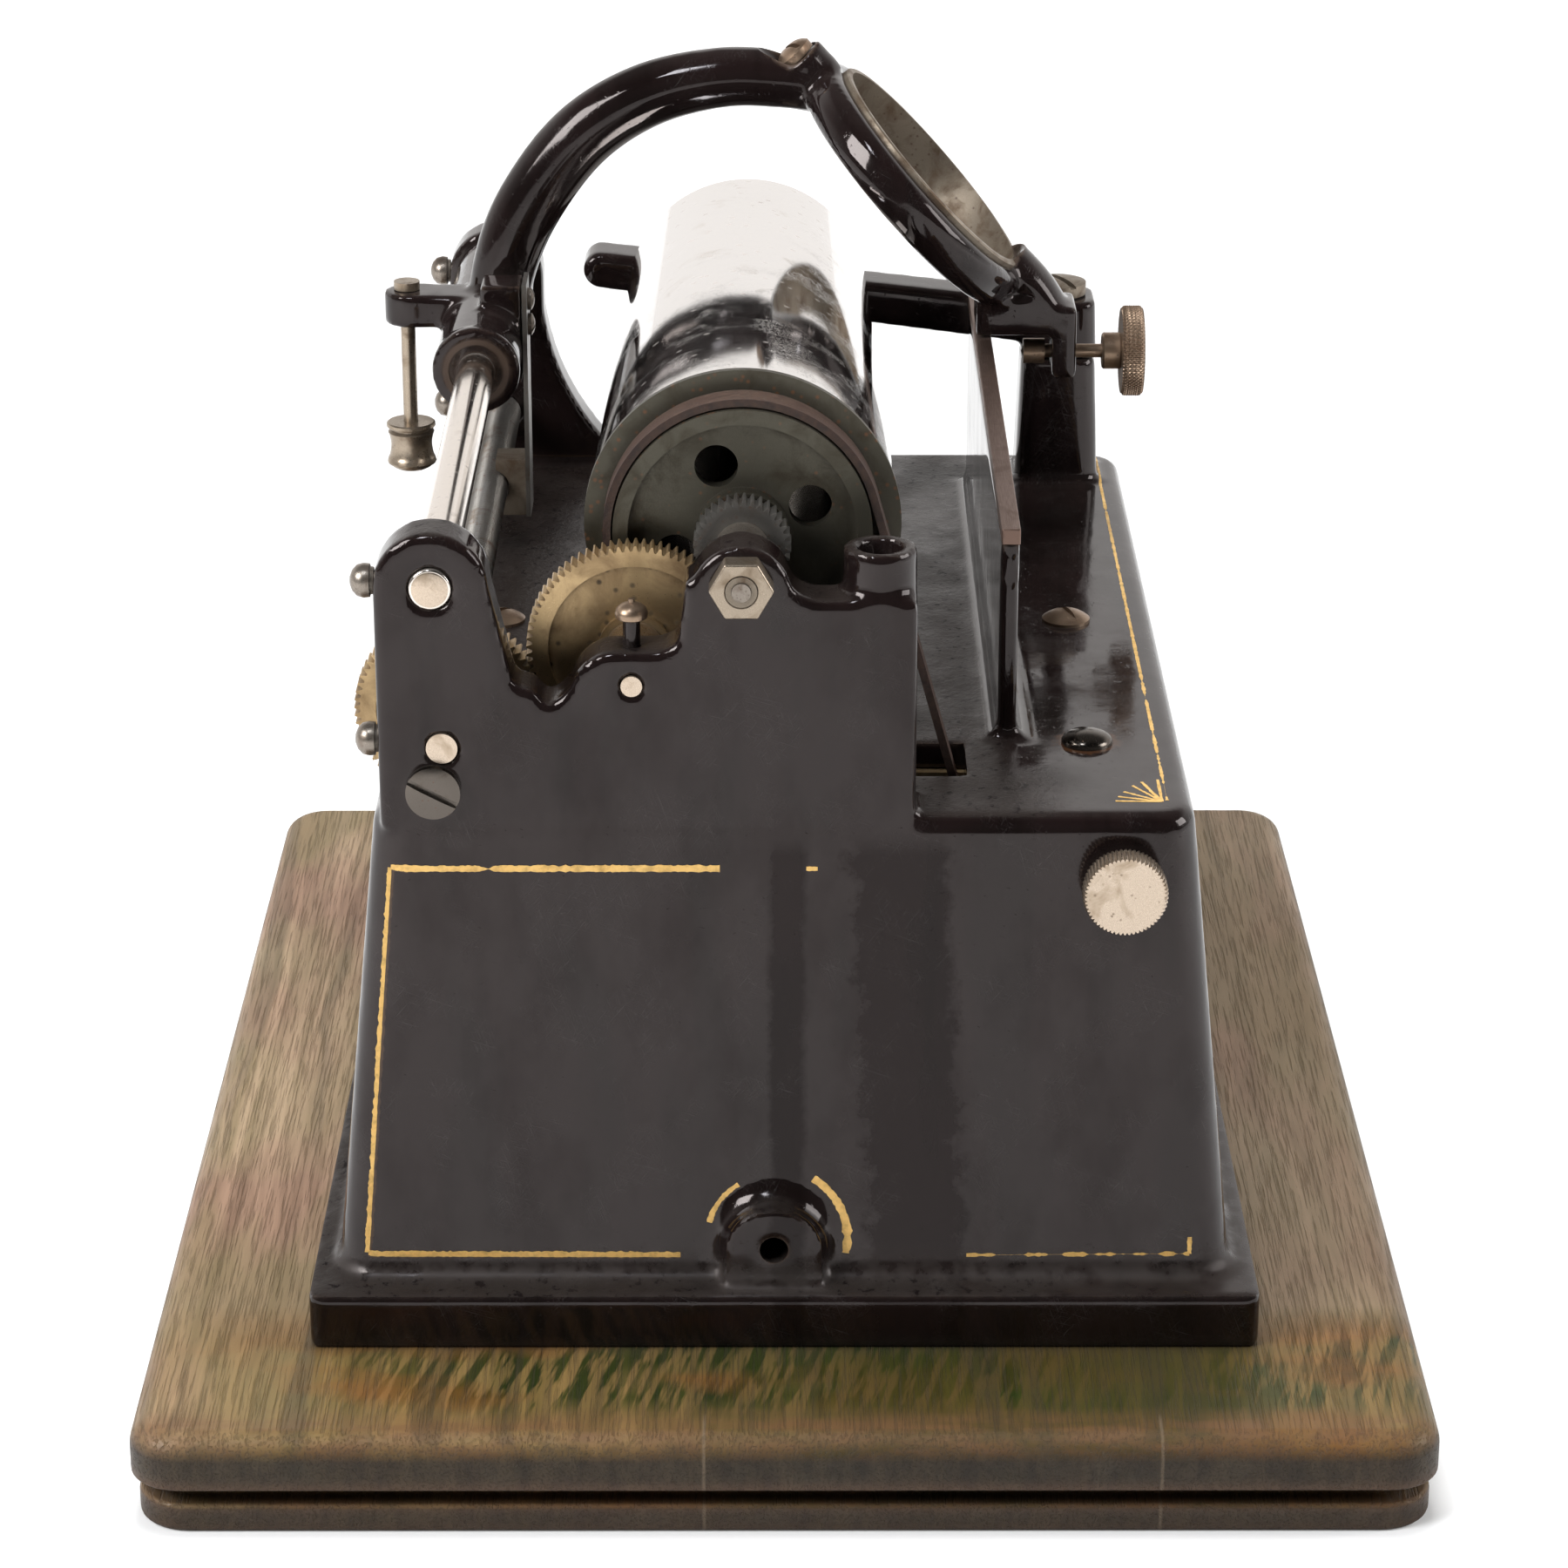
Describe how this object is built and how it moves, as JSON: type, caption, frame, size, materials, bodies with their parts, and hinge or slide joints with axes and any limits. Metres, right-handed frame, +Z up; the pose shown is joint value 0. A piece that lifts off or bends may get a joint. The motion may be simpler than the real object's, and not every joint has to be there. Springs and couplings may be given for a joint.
{
  "type": "cylinder phonograph",
  "caption": "Table phonograph for cylinder records: tapering mandrel, arched carriage on a rod with an open ring, feed screw, swing gate and a spring motor in a black casting on an oak board.",
  "frame": {"origin": "centre of the board's underside", "axes": "+X along the mandrel from the gears to the gate, -Y towards the operator, +Z up"},
  "size_m": [0.253, 0.196, 0.1853],
  "materials": {
    "oak": "satin",
    "black_lacquer": "glossy",
    "nickel": "polished",
    "dark_steel": "worn",
    "bright_steel": "satin",
    "brass": "tarnished",
    "spring_steel": "blued",
    "belt_leather": "dull"
  },
  "bodies": {
    "base": {"plinth_board": "oak", "plinth_frame": "oak", "base_screws": "dark_steel", "casting_near_wall": "black_lacquer", "casting_far_wall": "black_lacquer", "casting_front_wall": "black_lacquer", "casting_back_wall": "black_lacquer", "casting_deck": "black_lacquer", "casting_end_wall": "black_lacquer", "casting_front_post": "black_lacquer", "casting_edge_web": "black_lacquer", "casting_far_post": "black_lacquer", "back_rod": "nickel", "bearing_set_screws": "dark_steel", "feed_pivot_near": "dark_steel", "feed_pivot_far": "dark_steel", "pivot_clamp_screw": "dark_steel", "idler_stud": "dark_steel", "stud_clamp_screw": "dark_steel", "mandrel_bearing_bush": "dark_steel", "bearing_locknut": "bright_steel", "straight_edge_strip": "bright_steel", "gate_pivot_screw": "dark_steel", "motor_plate_near": "brass", "motor_plate_far": "brass", "motor_pillars": "bright_steel", "deck_screws": "dark_steel", "drive_belt": "belt_leather"},
    "mandrel": {"mandrel_shell": "nickel", "mandrel_pulley": "dark_steel", "mandrel_end_hub": "nickel", "mandrel_pinion": "dark_steel", "mandrel_shaft": "dark_steel"},
    "idler": {"idler_gear": "brass"},
    "feed": {"feed_screw": "dark_steel", "feed_gear": "brass"},
    "gate": {"gate_arm": "black_lacquer", "gate_centre": "dark_steel"},
    "slider": {"carriage_bush": "nickel"},
    "carriage": {"carriage_casting": "black_lacquer", "half_nut_leaf": "dark_steel", "half_nut": "brass", "leaf_screws": "dark_steel", "ring_clamp_screw": "nickel"},
    "lifting": {"lifting_screw": "nickel"},
    "hanging": {"hanging_rod": "nickel", "hanging_knob": "nickel"},
    "barrel": {"spring_barrel": "brass", "barrel_cover": "brass", "mainspring": "spring_steel"},
    "winding": {"winding_arbor": "bright_steel", "ratchet_wheel": "bright_steel"},
    "click": {"click": "bright_steel"},
    "second": {"second_arbor": "bright_steel", "second_wheel": "brass"},
    "pulley": {"pulley_arbor": "bright_steel", "governor_wheel": "brass", "motor_pulley": "brass"},
    "governor": {"governor_spindle": "bright_steel", "governor_disc": "brass", "governor_springs": "spring_steel", "governor_weights": "brass"},
    "speed": {"speed_knob": "nickel", "speed_shaft": "bright_steel", "brake_pad": "belt_leather"}
  },
  "joints": [
    {"name": "mandrel_spin", "type": "hinge", "parent": "base", "child": "mandrel", "pos_m": [0, 0.0063, 0.1355], "axis": [1, 0, 0], "continuous": true},
    {"name": "idler_spin", "type": "hinge", "parent": "base", "child": "idler", "pos_m": [-0.066, 0.02266, 0.11933], "axis": [1, 0, 0], "continuous": true},
    {"name": "feed_spin", "type": "hinge", "parent": "base", "child": "feed", "pos_m": [0, 0.051, 0.1095], "axis": [1, 0, 0], "continuous": true},
    {"name": "pulley_spin", "type": "hinge", "parent": "base", "child": "pulley", "pos_m": [-0.03, -0.021, 0.058], "axis": [1, 0, 0], "continuous": true},
    {"name": "second_spin", "type": "hinge", "parent": "base", "child": "second", "pos_m": [-0.03, -0.00666, 0.03752], "axis": [1, 0, 0], "continuous": true},
    {"name": "barrel_spin", "type": "hinge", "parent": "base", "child": "barrel", "pos_m": [-0.017, 0.02325, 0.05147], "axis": [1, 0, 0], "continuous": true},
    {"name": "governor_spin", "type": "hinge", "parent": "base", "child": "governor", "pos_m": [-0.022, -0.038, 0.0732], "axis": [1, 0, 0], "continuous": true},
    {"name": "winding_turn", "type": "hinge", "parent": "base", "child": "winding", "pos_m": [0.06, 0.02325, 0.05147], "axis": [1, 0, 0], "continuous": true},
    {"name": "click_lift", "type": "hinge", "parent": "base", "child": "click", "pos_m": [0.0063, 0.03321, 0.05982], "axis": [-1, 0, 0], "range_deg": [0, 15]},
    {"name": "speed_turn", "type": "hinge", "parent": "base", "child": "speed", "pos_m": [-0.089, -0.0509, 0.0886], "axis": [1, 0, 0], "range_deg": [0, 40]},
    {"name": "gate_swing", "type": "hinge", "parent": "base", "child": "gate", "pos_m": [0.085, -0.0498, 0.127], "axis": [0, 0, 1], "range_deg": [-100, 0]},
    {"name": "carriage_travel", "type": "slide", "parent": "base", "child": "slider", "axis": [1, 0, 0], "range_m": [-0.095, 0]},
    {"name": "carriage_lift", "type": "hinge", "parent": "slider", "child": "carriage", "pos_m": [0.056, 0.0521, 0.1345], "axis": [-1, 0, 0], "range_deg": [0, 14]},
    {"name": "lifting_screw_turn", "type": "hinge", "parent": "carriage", "child": "lifting", "pos_m": [0.055, -0.055, 0.1303], "axis": [0, 1, 0], "range_deg": [-180, 180]},
    {"name": "hanging_knob_turn", "type": "hinge", "parent": "carriage", "child": "hanging", "pos_m": [0.055, 0.0656, 0.125], "axis": [0, 0, 1], "range_deg": [-180, 180]}
  ],
  "couplings": [
    {"joint": "idler_spin", "follows": "mandrel_spin", "ratio": -0.4375},
    {"joint": "feed_spin", "follows": "mandrel_spin", "ratio": 0.5},
    {"joint": "pulley_spin", "follows": "mandrel_spin", "ratio": 1.4071},
    {"joint": "second_spin", "follows": "mandrel_spin", "ratio": -0.35179},
    {"joint": "barrel_spin", "follows": "mandrel_spin", "ratio": 0.078175},
    {"joint": "governor_spin", "follows": "mandrel_spin", "ratio": -10.051}
  ]
}
